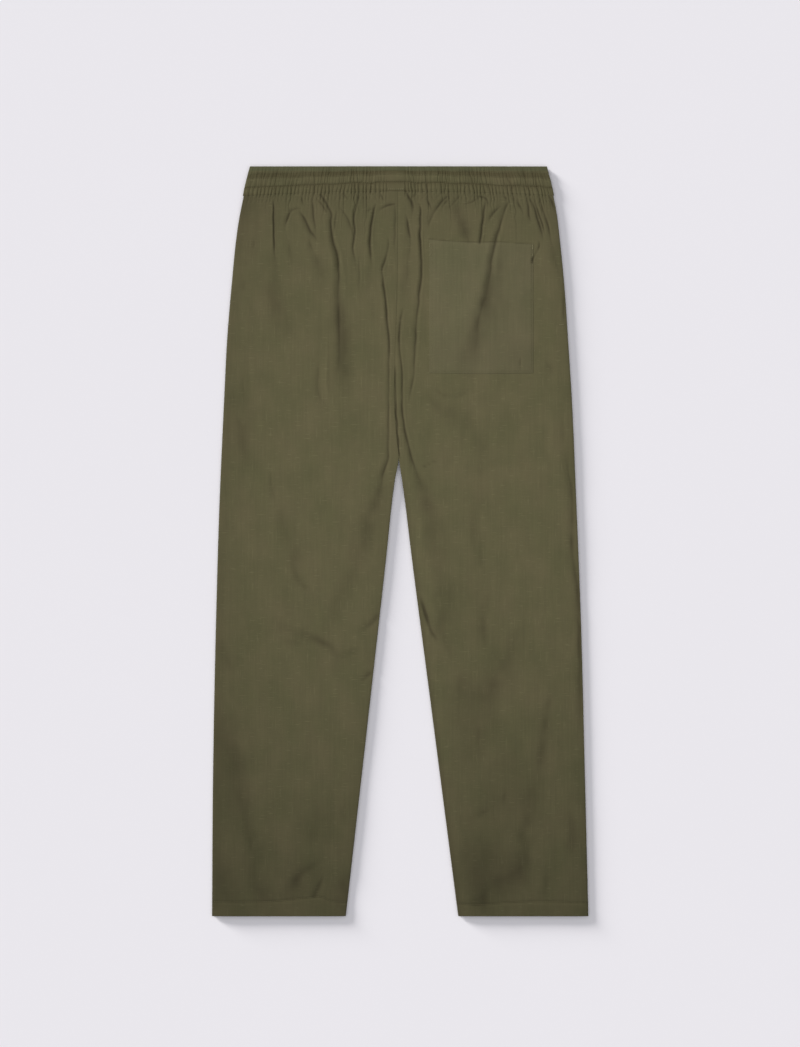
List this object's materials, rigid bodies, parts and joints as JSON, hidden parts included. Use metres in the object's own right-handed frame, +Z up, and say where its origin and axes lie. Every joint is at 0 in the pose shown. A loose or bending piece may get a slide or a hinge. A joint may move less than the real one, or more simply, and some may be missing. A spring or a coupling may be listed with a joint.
{
  "type": "chino joggers",
  "caption": "Lightweight olive cotton trousers laid flat with the back up: gathered elastic waistband, straight tapering legs, turned hems and a patch pocket.",
  "frame": {"origin": "under the middle of the garment's outline, on the plane it lies on", "axes": "+Y along the garment from the hems to the waist, +Z up out of the garment's back, +X towards the wearer's right side"},
  "size_m": [0.5272, 1.05, 0.0089],
  "materials": {
    "waistband_cotton": "matt plain weave, gathered on elastic",
    "back_cotton": "matt slubby plain weave",
    "front_cotton": "matt slubby plain weave",
    "pocket_cotton": "matt slubby plain weave"
  },
  "bodies": {
    "root": {"waistband_back": "waistband_cotton", "waistband_front": "waistband_cotton", "back_left": "back_cotton", "back_right": "back_cotton", "front_left": "front_cotton", "front_right": "front_cotton", "back_pocket": "pocket_cotton"}
  },
  "joints": []
}
